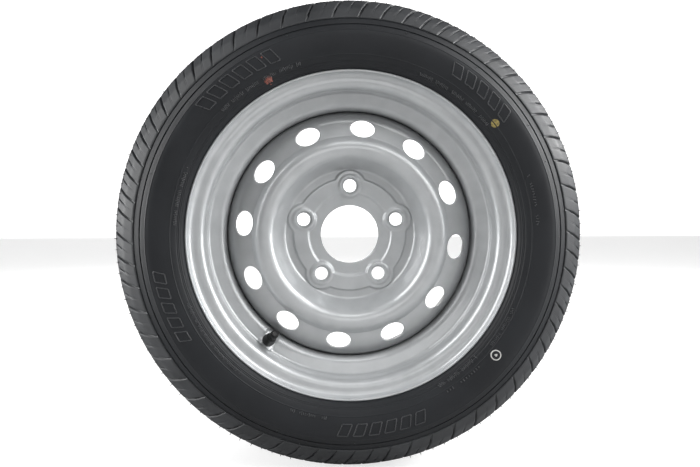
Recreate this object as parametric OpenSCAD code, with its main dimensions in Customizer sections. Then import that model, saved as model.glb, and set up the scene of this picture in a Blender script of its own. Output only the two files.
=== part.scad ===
// Trailer wheel: a welded steel disc wheel with its tubeless tyre and snap-in valve.
// The wheel stands upright, its spin axis along Y and its outer face towards -Y.
// Every profile is drawn as [radius, distance outboard of the centre plane].

/* [Tyre] */
// Outer diameter of the tyre
tyre_d = 525; // [510:1:560]
// Widest width across the sidewalls
section_w = 201; // [196:1:212]
// Width across the tread, shoulder to shoulder
tread_w = 156; // [146:1:162]
// Drop of the tread from its middle to the shoulder
crown_drop = 4.6; // [3:0.1:6]
// Depth of the tread pattern
tread_depth = 8; // [5:0.5:9]
// Rubber and belts under the grooves
undertread_t = 5; // [4:0.5:8]
// Thickness of the sidewall
sidewall_t = 6.5; // [5:0.5:8]
// Width of the four grooves that run round the tread
groove_w = 8.5; // [6:0.5:11]
// Number of shoulder blocks round each edge
pitches = 62; // [48:1:72]
// Width of the grooves between shoulder blocks
lateral_w = 2.8; // [1.5:0.1:4]
// Lean of the shoulder grooves from the radial line
lateral_lean = 19; // [8:1:28]
// Width of the short slit in each shoulder block
sipe_w = 0.8; // [0.6:0.1:1.2]
// Length of the bead seated on the rim
bead_l = 14; // [11:1:16]
// Running clearance between bead and rim
bead_gap = 0.2; // [0.1:0.1:0.4]

/* [Rim] */
// Diameter of the bead seat
rim_d = 329.4; // [320:0.2:336]
// Width between the two flanges
rim_w = 152.4; // [146:0.2:156]
// Height of the flange above the bead seat
flange_h = 17.5; // [16:0.1:19]
// Thickness of the rim sheet
rim_t = 2.6; // [2:0.1:3]
// Depth of the drop well below the bead seat
well_depth = 21.6; // [18:0.1:24]
// Width of the floor of the well
well_w = 48; // [44:1:54]
// Distance from the outer flange to the well's floor
well_inset = 37.24; // [35:0.01:40]
// Lean of the slope beside the well, away from the radial line
slope_lean = 36.7; // [32:0.1:40]
// Rise of the safety hump
hump_h = 1; // [0.4:0.1:1.4]

/* [Disc] */
// Thickness of the disc
disc_t = 5; // [4:0.1:5.5]
// Distance from the wheel's centre plane to the mounting face
wheel_offset = 30; // [26:1:34]
// Diameter of the centre bore
bore_d = 66.6; // [57:0.1:70]
// Number of wheel bolts
bolts = 5; // [4:1:5]
// Diameter of the bolt circle
bolt_circle_d = 112; // [108:1:114]
// Diameter of the bolt holes
bolt_hole_d = 15; // [13:0.1:16]
// Diameter of the flat top of a bolt boss
boss_d = 25; // [24:0.5:26]
// Height of a bolt boss above the pad
boss_h = 3.6; // [2.6:0.1:4.2]
// Height of the ring that joins the bosses
land_h = 2.4; // [1.5:0.1:2.5]
// Radius of the top of the crown
crown_r = 96.5; // [95:0.5:99]
// Height of the crown above the mounting face
crown_h = 29.5; // [27:0.5:33]
// Height of the vent band above the mounting face
band_h = 16.5; // [14:0.5:19]
// Number of vents
vents = 12; // [8:1:14]
// Radius of the circle of vents
vent_r = 120.8; // [120:0.1:122]
// Length of a vent along its circle
vent_l = 28; // [22:0.5:30]
// Height of a vent
vent_h = 19; // [15:0.5:20]
// Turn of the first vent from the X axis
vent_turn = 23.5; // [0:0.5:30]
// Length of the flange that is welded into the well
disc_flange_l = 24; // [20:1:28]
// Clearance between the disc's flange and the well
disc_fit = 0.1; // [0.05:0.05:0.2]
// Leg of the weld
weld_leg = 4; // [3:0.5:4.5]
// Turn of each weld's length round the wheel
weld_sweep = 52; // [30:1:70]

/* [Valve] */
// Place of the valve round the wheel
valve_turn = -128; // [-140:1:-110]
// Place of the valve hole down the well's slope, 0 at the top and 1 at the bottom
valve_place = 0.3793; // [0.34:0.0001:0.44]
// Diameter of the valve hole
valve_hole_d = 11.5; // [11.3:0.1:12]
// Diameter of the rubber body outside the rim
valve_body_d = 14.5; // [14:0.1:16]
// Length of the rubber body outside the rim
valve_body_l = 13; // [11:0.5:14]
// Diameter of the brass stem
stem_d = 7.7; // [7.5:0.1:7.9]
// Length of bare stem beyond the rubber
stem_bare_l = 9; // [8.5:0.1:10]
// Diameter of the stem's bore
stem_bore_d = 5.2; // [5:0.1:5.3]
// Diameter of the stem's narrow bore under the core
stem_throat_d = 3.9; // [3.6:0.1:4]
// Outer diameter of the cap
cap_d = 9.8; // [9.5:0.1:10.6]
// Length of the cap
cap_l = 9.6; // [9.2:0.1:10.5]
// Length of brass left bare between rubber and cap
cap_stand = 1.2; // [0.8:0.1:1.5]
// Clearance between cap and stem
cap_fit = 0.15; // [0.1:0.05:0.25]
// Diameter of the core's pin
pin_d = 1.2; // [1:0.1:1.3]
// Travel of the core's pin
pin_travel = 1.5; // [1:0.1:1.6]
// Clearance between the pieces of the core
core_fit = 0.1; // [0.05:0.01:0.12]

/* [Hidden] */

rubber = [0.13, 0.13, 0.14];
silver = [0.70, 0.72, 0.74];
weld_grey = [0.60, 0.61, 0.63];
brass = [0.72, 0.58, 0.32];
valve_black = [0.09, 0.09, 0.10];

$fn = 96;
// Turn of each short straight that stands for a bend
bend_step = 12;
// Overshoot of cutting shapes
over = 1;

seat_r = rim_d / 2;
flange_r = seat_r + flange_h;
half_rim = rim_w / 2;
half_t = rim_t / 2;
// Bends of the rim sheet, measured on its middle line
heel_bend = 6.5 + half_t;
curl_bend = 9.5 - half_t;
curl_r = flange_r - half_t;
wall_z = half_rim + half_t;
lip_l = 2.4;
lip_z = wall_z + curl_bend + lip_l;
seat_l = 19.8;
seat_drop = 1.5;
hump_w = 3;
hump_z = half_rim - seat_l;
well_r = seat_r - well_depth;
well_mid_r = well_r + half_t - rim_t;
well_top_z = half_rim - well_inset;
well_end_z = well_top_z - well_w;
// Upper end of the slope that carries the valve
slope_rise = well_depth - seat_drop - hump_h;
slope_run = slope_rise * tan(slope_lean);
slope_top = [well_mid_r + slope_rise, well_top_z + slope_run];
slope_foot = [well_mid_r, well_top_z];

// Inner face of the well, in which the disc is welded
well_bore_r = well_r - rim_t;
disc_r = well_bore_r - disc_fit;
disc_mid_r = disc_r - disc_t / 2;
pad_z = wheel_offset + disc_t;
mid_z = wheel_offset + disc_t / 2;
band_z = mid_z + band_h;
disc_end_z = band_z - disc_flange_l - disc_t / 2;
bolt_r = bolt_circle_d / 2;

tyre_r = tyre_d / 2;
half_tread = tread_w / 2;
half_section = section_w / 2;
shoulder_r = tyre_r - crown_drop;
crown_radius = (half_tread * half_tread + crown_drop * crown_drop) / (2 * crown_drop);
// Height of the sidewall above the flange, and how far it stands out beyond the tread
side_h = tyre_r - flange_r;
side_out = half_section - half_tread;
// Foot of the sidewall, clear of the rim's lip
wall_foot = [flange_r + 4.4, lip_z + 4.2];
widest_r = flange_r + 0.391 * side_h;
// Upper end of the smooth sidewall, and the lower edge of the shoulder blocks above it
buttress = [flange_r + 0.595 * side_h, half_section - 0.231 * side_out];
block_foot = [flange_r + 0.664 * side_h, half_section - 0.369 * side_out];
block_h = shoulder_r - block_foot[0];
groove_spread = tread_w * 0.215;
grooves = [-1.5, -0.5, 0.5, 1.5];

// Unit vector along v
function unit(v) = v / norm(v);
// The vector v turned by an angle
function turned(v, angle) = [v[0] * cos(angle) - v[1] * sin(angle), v[0] * sin(angle) + v[1] * cos(angle)];
// The first two values of a corner
function spot(p) = [p[0], p[1]];
// A corner b between a and c, rounded to radius r
function corner(a, b, c, r) =
    let (
        u = unit(a - b),
        v = unit(c - b),
        half = acos(u * v) / 2,
        first = b + u * (r / tan(half)),
        centre = b + unit(u + v) * (r / sin(half)),
        side = cross(b - a, c - b) > 0 ? 1 : -1,
        sweep = 180 - 2 * half,
        n = max(1, ceil(sweep / bend_step))
    )
    [for (k = [0:n]) centre + turned(first - centre, side * sweep * k / n)];
// A line of corners [x, y, radius], each rounded to its own radius
function rounded(p) =
    let (last = len(p) - 1)
    [for (k = [0:last])
        each k == 0 || k == last || p[k][2] == 0 ? [spot(p[k])]
            : corner(spot(p[k - 1]), spot(p[k]), spot(p[k + 1]), p[k][2])];
// Direction across the line p at point k, long enough to keep a parallel line parallel
function across(p, k) =
    let (
        last = len(p) - 1,
        u = k == 0 ? unit(p[1] - p[0]) : unit(p[k] - p[k - 1]),
        v = k == last ? unit(p[last] - p[last - 1]) : unit(p[k + 1] - p[k]),
        m = unit(u + v)
    )
    turned(m, 90) / (m * u);
// The line p moved sideways by d
function beside(p, d) = [for (k = [0:len(p) - 1]) p[k] + across(p, k) * d];
function reversed(p) = [for (k = [len(p) - 1:-1:0]) p[k]];
// The outline of a sheet of thickness t whose middle line is p
function sheet(p, t) = concat(beside(p, t / 2), reversed(beside(p, -t / 2)));
// The round end of a sheet, from the point a half a turn about the point c
function round_end(c, a) = [for (k = [1:5]) c + turned(a - c, -180 * k / 6)];
// The outline of a sheet whose two ends are rounded over
function rolled_sheet(p, t) =
    let (
        left = beside(p, t / 2),
        right = reversed(beside(p, -t / 2)),
        last = len(p) - 1
    )
    concat(left, round_end(p[last], left[last]), right, round_end(p[0], right[last]));
// A smooth curve from a to d that starts towards b and arrives from c
function curve(a, b, c, d, n) =
    [for (k = [0:n]) let (t = k / n, s = 1 - t) s * s * s * a + 3 * s * s * t * b + 3 * s * t * t * c + t * t * t * d];
// The point p mirrored to the inboard side
function mirrored(p) = [for (q = reversed(p)) [q[0], -q[1]]];
// Length of one shoulder pitch against the mean: three lengths that come in runs
function pitch_share(k) = 1 + 0.165 * round(1.25 * sin(360 * 4 * k / pitches + 40 * sin(360 * k / pitches)));
// Share of the tread's turn that lies before block k
function pitch_sum(k) = k == 0 ? 0 : pitch_sum(k - 1) + pitch_share(k - 1);
function pitch_angle(k) = 360 * pitch_sum(k) / pitch_sum(pitches);

// Puts a shape modelled round the wheel's axis into the wheel's frame
module upright() {
    rotate([90, 0, 0])
        children();
}

// Moves a shape to a place round the bolt circle
module at_bolts() {
    for (k = [0:bolts - 1])
        rotate(90 + 360 * k / bolts)
            translate([bolt_r, 0, 0])
                children();
}

// Half of the tyre's outer line, from the bead's toe to the middle of the tread
function tyre_outer() =
    let (
        toe = [seat_r + bead_gap - seat_drop * bead_l / seat_l, half_rim - bead_gap - bead_l, 0],
        heel = [seat_r + bead_gap, half_rim - bead_gap, heel_bend - half_t],
        curl = [flange_r + bead_gap, half_rim - bead_gap, curl_bend + half_t + bead_gap],
        nose = [flange_r + bead_gap, lip_z - 0.4, 0],
        widest = [widest_r, half_section],
        handle = 0.112 * side_h
    )
    concat(
        rounded([toe, heel, curl, nose]),
        curve(wall_foot, wall_foot + handle * [0.56, 0.6], widest - [handle, 0], widest, 7),
        curve(widest, widest + [handle, 0], buttress - handle * [0.67, -0.33], buttress, 6),
        [buttress + [1, -1.6], block_foot - [1, 0.4], block_foot + [0.2, 0.9]],
        rounded([
            concat(block_foot + [1.4, 0.6], 0),
            [shoulder_r - 0.446 * block_h, half_tread + 0.382 * side_out, 0.625 * block_h],
            [shoulder_r, half_tread - 2.6, 8],
            [tyre_r - crown_drop * 0.62, half_tread * 0.75, 0]
        ]),
        [for (k = [6:-1:0]) crown_point(half_tread * k / 9)]
    );
// A point of the crowned tread at a distance from the centre plane
function crown_point(z) = [tyre_r - crown_radius + sqrt(crown_radius * crown_radius - z * z), z];

// Half of the tyre's inner line, from the middle of the tread back to the bead's toe
function tyre_inner() =
    let (
        top = tyre_r - tread_depth - undertread_t,
        toe = [seat_r + bead_gap - seat_drop * bead_l / seat_l + 1.4, half_rim - bead_gap - bead_l - 0.8],
        wide = half_section - sidewall_t,
        upper_h = top - widest_r,
        lower_h = widest_r - toe[0]
    )
    concat(
        [[top, 0], [top - 0.028 * upper_h, 0.332 * wide]],
        curve([top - 0.095 * upper_h, 0.581 * wide], [top - 0.209 * upper_h, 0.872 * wide],
            [widest_r + 0.501 * upper_h, wide], [widest_r, wide], 8),
        curve([widest_r - 0.062 * lower_h, wide - 0.1], [widest_r - 0.288 * lower_h, wide - 1],
            toe + [0.41 * lower_h, 4], toe, 7)
    );

// Section of a groove that runs round the tread
module groove_section(z) {
    half_top = groove_w / 2;
    half_floor = half_top - tread_depth * 0.14;
    top = crown_point(z)[0];
    polygon([[top + over, z - half_top - 0.2], [top - tread_depth, z - half_floor],
        [top - tread_depth, z + half_floor], [top + over, z + half_top + 0.2]]);
}

// Cutter of one shoulder groove, a plane shape given a width and leant over
module shoulder_cut(width, lean, shape) {
    pivot = [shoulder_r - 0.357 * block_h, half_tread + 0.178 * side_out];
    dip = atan2(pivot[0] - block_foot[0], block_foot[1] - pivot[1]);
    translate([pivot[0], 0, pivot[1]])
        rotate([0, dip - 90, 0])
            rotate([0, 0, lean])
                rotate([0, 90 - dip, 0])
                    translate([-pivot[0], width / 2, -pivot[1]])
                        rotate([90, 0, 0])
                            linear_extrude(width)
                                polygon(shape);
}

// Side view of a shoulder groove: deep in the tread and running out at the block's foot
function lateral_shape() =
    let (
        clear_r = tyre_r + 4 * over,
        clear_z = half_section
    )
    [
        [block_foot[0] + 1, clear_z],
        block_foot + [1.2, 0.2],
        [shoulder_r - 0.491 * block_h, half_tread + 0.231 * side_out],
        [shoulder_r - 0.9 * tread_depth, half_tread - 4],
        [tyre_r - tread_depth, groove_spread * 1.5],
        [clear_r, groove_spread * 1.5],
        [clear_r, clear_z]
    ];

// Side view of the short slit at the edge of each shoulder block
function sipe_shape() =
    let (
        clear_r = tyre_r + 4 * over,
        clear_z = half_section,
        inner_z = half_tread - 14
    )
    [
        [shoulder_r - 0.424 * block_h, clear_z],
        [shoulder_r - 0.469 * block_h, half_tread + 0.311 * side_out],
        [shoulder_r - 0.268 * block_h, half_tread],
        [shoulder_r - 0.196 * block_h, inner_z],
        [clear_r, inner_z],
        [clear_r, clear_z]
    ];

module tyre() {
    outer = tyre_outer();
    inner = tyre_inner();
    color(rubber)
        upright()
            difference() {
                rotate_extrude($fn = 180)
                    difference() {
                        polygon(concat(outer, mirrored(outer), mirrored(inner), inner));
                        for (g = grooves)
                            groove_section(g * groove_spread);
                    }
                for (k = [0:pitches - 1]) {
                    start = pitch_angle(k);
                    middle = (pitch_angle(k) + pitch_angle(k + 1)) / 2;
                    rotate(start) {
                        shoulder_cut(lateral_w, lateral_lean, lateral_shape());
                        mirror([0, 0, 1])
                            mirror([0, 1, 0])
                                shoulder_cut(lateral_w, lateral_lean, lateral_shape());
                    }
                    rotate(middle) {
                        shoulder_cut(sipe_w, lateral_lean, sipe_shape());
                        mirror([0, 0, 1])
                            mirror([0, 1, 0])
                                shoulder_cut(sipe_w, lateral_lean, sipe_shape());
                    }
                }
            }
}

// Middle line of the rim sheet, from the outer lip to the inner lip
function rim_line() =
    let (
        seat_mid = seat_r - half_t,
        toe_mid = seat_mid - seat_drop
    )
    rounded([
        [curl_r, lip_z, 0],
        [curl_r, wall_z, curl_bend],
        [seat_mid, wall_z, heel_bend],
        [toe_mid, hump_z + hump_w, 5],
        [toe_mid + hump_h, hump_z, 2],
        [slope_top[0], slope_top[1], 5],
        [slope_foot[0], slope_foot[1], 7],
        [well_mid_r, well_end_z, 9],
        [toe_mid - 4, -hump_z + 10, 12],
        [toe_mid + hump_h, -hump_z, 2],
        [toe_mid, -hump_z - hump_w, 5],
        [seat_mid, -wall_z, heel_bend],
        [curl_r, -wall_z, curl_bend],
        [curl_r, -lip_z, 0]
    ]);

// Puts a shape modelled along +Z at the valve hole, pointing outboard
module at_valve() {
    place = slope_top * (1 - valve_place) + slope_foot * valve_place;
    upright()
        rotate(valve_turn)
            translate([place[0], 0, place[1]])
                rotate([0, -slope_lean, 0])
                    children();
}

module rim() {
    color(silver)
        difference() {
            upright()
                rotate_extrude($fn = 180)
                    polygon(rolled_sheet(rim_line(), rim_t));
            at_valve()
                translate([0, 0, -2 * rim_t])
                    cylinder(d = valve_hole_d, h = 4 * rim_t);
        }
}

// Middle line of the disc, from the bore to the end of the welded flange
function disc_line() =
    let (
        land_in = bolt_r - 8.6,
        land_out = bolt_r + 7.3,
        valley_r = land_out + 3,
        wall_w = crown_r - valley_r,
        band_r = crown_r + 13.7,
        band_w = disc_mid_r - band_r
    )
    rounded([
        [bore_d / 2, mid_z, 0],
        [land_in - 1.6, mid_z, 3],
        [land_in + 1.6, mid_z + land_h, 3],
        [land_out, mid_z + land_h - 0.4, 2.7],
        [valley_r, mid_z - 0.8, 2.7],
        [valley_r + 0.331 * wall_w, mid_z - 0.4, 0.1 * wall_w],
        [valley_r + 0.778 * wall_w, mid_z + crown_h - 3.2, 0.1 * wall_w],
        [crown_r, mid_z + crown_h - 2.1, 0.6 * wall_w],
        [crown_r + 6.8, mid_z + crown_h - 3.3, 10],
        [band_r, band_z + 2.1, 3],
        [disc_mid_r, band_z - 1, 0.47 * band_w],
        [disc_mid_r, disc_end_z, 0]
    ]);

// Boss for one bolt seat, standing on the pad
module boss() {
    rotate_extrude($fn = 64)
        polygon(concat(
            [[0, -over - land_h], [boss_d / 2 + 5.5, -over - land_h]],
            reversed(rounded([
                [0, boss_h, 0],
                [boss_d / 2 + 0.6, boss_h, 3],
                [boss_d / 2 + 4.4, -over, 0]
            ]))
        ));
}

// Outline of a vent: two small end arcs joined by two flat flank arcs
module vent_outline() {
    a = vent_l / 2;
    b = vent_h / 2;
    tip = b * 0.78;
    flank = ((a - tip) * (a - tip) + b * b - tip * tip) / (2 * (b - tip));
    meet = (a - tip) * flank / (flank - tip);
    for (s = [-1, 1])
        translate([0, s * (a - tip)])
            circle(tip, $fn = 48);
    intersection() {
        translate([flank - b, 0])
            circle(flank, $fn = 96);
        translate([b - flank, 0])
            circle(flank, $fn = 96);
        square([vent_h + over, 2 * meet], center = true);
    }
}

module disc() {
    seat_h = 4;
    color(silver)
        upright()
            difference() {
                union() {
                    rotate_extrude($fn = 180)
                        polygon(sheet(disc_line(), disc_t));
                    at_bolts()
                        translate([0, 0, pad_z])
                            boss();
                }
                at_bolts() {
                    translate([0, 0, wheel_offset - over])
                        cylinder(d = bolt_hole_d, h = disc_t + boss_h + 2 * over);
                    translate([0, 0, pad_z + boss_h - seat_h])
                        cylinder(d1 = bolt_hole_d, d2 = bolt_hole_d + 2 * seat_h * tan(30), h = seat_h);
                    translate([0, 0, pad_z + boss_h])
                        cylinder(d = bolt_hole_d + 2 * seat_h * tan(30), h = over);
                    translate([0, 0, wheel_offset - disc_t])
                        cylinder(d = boss_d, h = disc_t);
                    translate([0, 0, wheel_offset - 0.01])
                        cylinder(d1 = boss_d, d2 = boss_d - 5, h = boss_h * 0.6);
                }
                for (k = [0:vents - 1])
                    rotate(vent_turn + 360 * k / vents)
                        translate([vent_r, 0, band_z - 4 * disc_t])
                            linear_extrude(8 * disc_t)
                                vent_outline();
            }
}

// One of the four welds that hold the disc's flange in the well
module weld(k) {
    color(weld_grey)
        upright()
            rotate(45 + 90 * k - weld_sweep / 2)
                rotate_extrude(angle = weld_sweep, $fn = 180)
                    polygon([[well_bore_r, disc_end_z], [well_bore_r - weld_leg, disc_end_z],
                        [well_bore_r - weld_leg * 0.62, disc_end_z - weld_leg * 0.62],
                        [well_bore_r, disc_end_z - weld_leg]]);
}

// Distances along the valve from the middle of the rim sheet
stem_end = half_t + valve_body_l + stem_bare_l;
cap_start = half_t + valve_body_l + cap_stand;
head_l = 6;
stem_tail = half_t + head_l + 1.5;
core_top = stem_end - 1;
plug_l = 5;
plug_end = core_top - plug_l;
gasket_l = 1.6;
gasket_end = plug_end - gasket_l;
throat_z = gasket_end - 0.4;
barrel_l = 6.5 + pin_travel;
barrel_end = plug_end - barrel_l;
barrel_wall = 0.4;
barrel_d = stem_throat_d - 4 * core_fit;
collar_l = 0.6;
collar_z = plug_end - 0.7 - collar_l;
seal_l = 0.8;
seal_top = barrel_end - 0.05;
cup_l = 0.8;
cup_top = seal_top - seal_l;
rivet_fit = 0.03;

module valve_body() {
    groove_r = valve_hole_d / 2 - core_fit;
    head_r = groove_r + 2.8;
    color(valve_black)
        at_valve()
            rotate_extrude()
                polygon(concat(
                    [[stem_d / 2 - 0.6, -half_t - head_l]],
                    rounded([
                        [head_r - 0.8, -half_t - head_l, 0],
                        [head_r, -half_t - core_fit, 1.2],
                        [groove_r, -half_t - core_fit, 0],
                        [groove_r, half_t + core_fit, 0],
                        [valve_body_d / 2, half_t + core_fit, 0],
                        [valve_body_d / 2, half_t + 3, 2],
                        [valve_body_d / 2 - 1.6, half_t + valve_body_l - 1.6, 1.2],
                        [stem_d / 2 + 0.8, half_t + valve_body_l, 0],
                        [stem_d / 2, half_t + valve_body_l, 0]
                    ]),
                    [[stem_d / 2, half_t], [stem_d / 2 - 0.6, half_t - 1]]
                ));
}

module valve_stem() {
    color(brass)
        at_valve()
            rotate_extrude()
                polygon([
                    [stem_throat_d / 2, -stem_tail],
                    [stem_d / 2 - 0.6 - core_fit, -stem_tail],
                    [stem_d / 2 - 0.6 - core_fit, half_t - 1],
                    [stem_d / 2 - core_fit, half_t],
                    [stem_d / 2 - core_fit, half_t + valve_body_l],
                    [stem_d / 2, half_t + valve_body_l + 0.2],
                    [stem_d / 2, stem_end - 0.5],
                    [stem_d / 2 - 0.5, stem_end],
                    [stem_bore_d / 2 + 0.3, stem_end],
                    [stem_bore_d / 2, stem_end - 0.4],
                    [stem_bore_d / 2, gasket_end],
                    [stem_throat_d / 2, throat_z]
                ]);
}

module valve_core_plug() {
    color(brass)
        at_valve()
            difference() {
                translate([0, 0, plug_end])
                    cylinder(d = stem_bore_d - 2 * core_fit, h = plug_l);
                translate([0, 0, plug_end - over])
                    cylinder(d = pin_d + 2 * core_fit, h = plug_l + 2 * over);
                translate([0, 0, core_top - 1.4])
                    difference() {
                        cylinder(d = stem_bore_d + over, h = 1.4 + over);
                        translate([0, 0, over])
                            cube([stem_bore_d + 2 * over, 1.9, 4 * over], center = true);
                    }
            }
}

// Sleeve under the plug that holds the spring, with a floor at its inner end
module valve_core_barrel() {
    color(brass)
        at_valve()
            translate([0, 0, barrel_end])
                difference() {
                    cylinder(d = barrel_d, h = barrel_l);
                    translate([0, 0, -over])
                        cylinder(d = pin_d + 2 * core_fit, h = barrel_l);
                    translate([0, 0, collar_l])
                        cylinder(d = barrel_d - 2 * barrel_wall, h = barrel_l);
                }
}

module valve_core_gasket() {
    color("ivory")
        at_valve()
            translate([0, 0, gasket_end])
                difference() {
                    cylinder(d = stem_bore_d - 2 * core_fit, h = gasket_l);
                    translate([0, 0, -over])
                        cylinder(d = barrel_d + 2 * rivet_fit, h = gasket_l + 2 * over);
                }
}

// Pin with the collar that the spring pushes on
module valve_core_pin() {
    color(brass)
        at_valve()
            union() {
                translate([0, 0, cup_top - cup_l])
                    cylinder(d = pin_d, h = core_top + 0.5 - cup_top + cup_l, $fn = 32);
                translate([0, 0, collar_z])
                    cylinder(d = barrel_d - 2 * barrel_wall - 2 * core_fit, h = collar_l);
            }
}

// Coil spring round the pin, from the barrel's floor to the collar
module valve_core_spring() {
    wire = 0.35;
    outer = barrel_d / 2 - barrel_wall - core_fit;
    length = collar_z - barrel_end - collar_l;
    coils = 7;
    share = 360 * wire * coils / length;
    color("silver")
        at_valve()
            translate([0, 0, barrel_end + collar_l])
                linear_extrude(height = length, twist = -360 * coils, slices = 10 * coils, $fn = 6)
                    polygon([
                        for (k = [0:2]) outer * [cos(share * k / 2), sin(share * k / 2)],
                        for (k = [2:-1:0]) (outer - wire) * [cos(share * k / 2), sin(share * k / 2)]
                    ]);
}

module valve_core_cup() {
    color(brass)
        at_valve()
            translate([0, 0, cup_top - cup_l])
                difference() {
                    cylinder(d = barrel_d, h = cup_l);
                    translate([0, 0, -over])
                        cylinder(d = pin_d + 2 * rivet_fit, h = cup_l + 2 * over);
                }
}

module valve_core_seal() {
    color(valve_black)
        at_valve()
            translate([0, 0, cup_top])
                difference() {
                    cylinder(d = barrel_d, h = seal_l);
                    translate([0, 0, -over])
                        cylinder(d = pin_d + 2 * rivet_fit, h = seal_l + 2 * over);
                }
}

module valve_cap() {
    bore = stem_d + 2 * cap_fit;
    color(valve_black)
        at_valve()
            translate([0, 0, cap_start])
                difference() {
                    rotate_extrude()
                        polygon(concat([[0, 0]], rounded([
                            [cap_d / 2 - 0.3, 0, 0],
                            [cap_d / 2, 0.8, 0],
                            [cap_d / 2 - 0.4, cap_l, 1],
                            [0, cap_l, 0]
                        ])));
                    translate([0, 0, -over])
                        cylinder(d = bore, h = over + stem_end - cap_start + 1);
                }
}

module valve_cap_seal() {
    color("dimgray")
        at_valve()
            translate([0, 0, stem_end + cap_fit])
                difference() {
                    cylinder(d = stem_d, h = 0.9 - cap_fit);
                    translate([0, 0, -over])
                        cylinder(d = stem_bore_d - 1, h = 1 + 2 * over);
                }
}

tyre();
rim();
disc();
weld(0);  // weld_1
weld(1);  // weld_2
weld(2);  // weld_3
weld(3);  // weld_4
valve_body();
valve_stem();
valve_core_plug();
valve_core_barrel();
valve_core_gasket();
valve_core_pin();
valve_core_spring();
valve_core_cup();
valve_core_seal();
valve_cap();
valve_cap_seal();
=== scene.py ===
# %% [markdown]
# A small trailer wheel: a silver painted steel disc wheel with its tyre and rubber valve.
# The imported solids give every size. This lesson dresses them: each visible surface is worked
# out as a whole array of points, turned round the wheel's axis, and given a procedural finish.

# %% Load the frame
import bpy
import numpy as np
from mathutils import Matrix, Vector


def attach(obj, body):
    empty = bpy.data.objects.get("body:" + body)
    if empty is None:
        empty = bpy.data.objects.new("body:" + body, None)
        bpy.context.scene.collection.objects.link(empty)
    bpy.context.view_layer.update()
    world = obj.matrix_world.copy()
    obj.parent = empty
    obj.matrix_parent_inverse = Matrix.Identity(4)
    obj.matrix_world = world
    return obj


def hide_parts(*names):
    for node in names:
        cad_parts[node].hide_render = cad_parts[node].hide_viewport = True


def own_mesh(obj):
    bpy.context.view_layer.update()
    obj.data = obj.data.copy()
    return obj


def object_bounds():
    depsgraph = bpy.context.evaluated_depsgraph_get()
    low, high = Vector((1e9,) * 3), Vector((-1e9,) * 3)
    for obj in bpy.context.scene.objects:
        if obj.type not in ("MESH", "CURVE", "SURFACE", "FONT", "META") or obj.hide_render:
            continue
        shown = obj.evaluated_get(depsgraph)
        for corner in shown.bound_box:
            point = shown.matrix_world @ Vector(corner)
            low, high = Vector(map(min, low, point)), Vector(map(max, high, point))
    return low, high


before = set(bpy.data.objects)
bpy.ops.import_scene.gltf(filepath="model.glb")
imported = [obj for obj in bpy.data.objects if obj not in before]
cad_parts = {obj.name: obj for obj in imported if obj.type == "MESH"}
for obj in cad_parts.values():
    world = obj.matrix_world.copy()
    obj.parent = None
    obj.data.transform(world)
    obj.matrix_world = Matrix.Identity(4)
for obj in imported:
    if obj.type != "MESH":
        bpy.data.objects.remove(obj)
cad_box = [[float(v) for v in corner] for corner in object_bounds()]
print("solids reach from", cad_box[0], "to", cad_box[1])

# %% [markdown]
# Sizes are in millimetres, as a wheel maker writes them, and become metres when a mesh is made.
# The wheel's own frame is simple: a radius, a turn round the axis, and a distance out from the
# middle plane towards the side that the picture shows.

# %% Driving sizes
MM = 0.001
SEAT_R, FLANGE_H, HALF_RIM, RIM_T = 164.7, 17.5, 76.2, 2.6
WELL_DEPTH, WELL_W, WELL_INSET = 21.6, 48.0, 37.24
SLOPE_LEAN, SLOPE_TILT = 36.7, 12.0
SEAT_L, SEAT_DROP, HUMP_H, HUMP_W = 19.8, 1.5, 1.0, 3.0
FLANGE_R = SEAT_R + FLANGE_H
WALL_OUT = HALF_RIM + RIM_T / 2
CURL_BEND, HEEL_BEND = 9.5 - RIM_T / 2, 6.5 + RIM_T / 2
CURL_R = FLANGE_R - RIM_T / 2
LIP_OUT = WALL_OUT + CURL_BEND + 2.4
WELL_MID_R = SEAT_R - WELL_DEPTH - RIM_T / 2
WELL_TOP = HALF_RIM - WELL_INSET
SLOPE_RISE = WELL_DEPTH - SEAT_DROP - HUMP_H
SLOPE_RUN = SLOPE_RISE * np.tan(np.radians(SLOPE_LEAN))
WELL_BORE_R = SEAT_R - WELL_DEPTH - RIM_T

DISC_T, OFFSET, BORE_R = 5.0, 30.0, 33.3
BOLTS, BOLT_R, BOLT_HOLE_R = 5, 56.0, 7.5
BOSS_TOP_R, BOSS_FOOT_R, SKIRT_R, BOSS_H, LAND_H = 11.3, 16.4, 18.2, 3.6, 2.4
CROWN_R, CROWN_H, BAND_H = 96.5, 29.5, 16.5
VENTS, VENT_R, VENT_L, VENT_H, VENT_TURN = 12, 120.8, 28.0, 19.0, 23.5
DISC_MID = OFFSET + DISC_T / 2
PAD_OUT = OFFSET + DISC_T
BAND_OUT = DISC_MID + BAND_H
DISC_R = WELL_BORE_R - 0.1
DISC_END = BAND_OUT - 24.0 - DISC_T / 2

TYRE_R, HALF_SECTION, HALF_TREAD, CROWN_DROP = 262.5, 100.5, 78.0, 4.6
TREAD_DEPTH, PITCHES, GROOVE_W, LATERAL_W = 8.0, 62, 8.5, 2.8
SHOULDER_R = TYRE_R - CROWN_DROP
WIDEST_R = SEAT_R + 0.5 * (TYRE_R - SEAT_R)
GROOVE_SPREAD = 2 * HALF_TREAD * 0.215
BLOCK_FOOT = np.array([TYRE_R - 27, HALF_SECTION - 8.3])
BUTTRESS = np.array([TYRE_R - 32.5, HALF_SECTION - 5.2])

# %% [markdown]
# The camera repeats the photograph's: about 900 mm in front of the flange, a little to the left
# of the axis and a little above it, with a lens of about 42 mm. The same numbers turn a place in
# the picture back into a radius and a turn, which is how small paint marks find their places.

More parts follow.
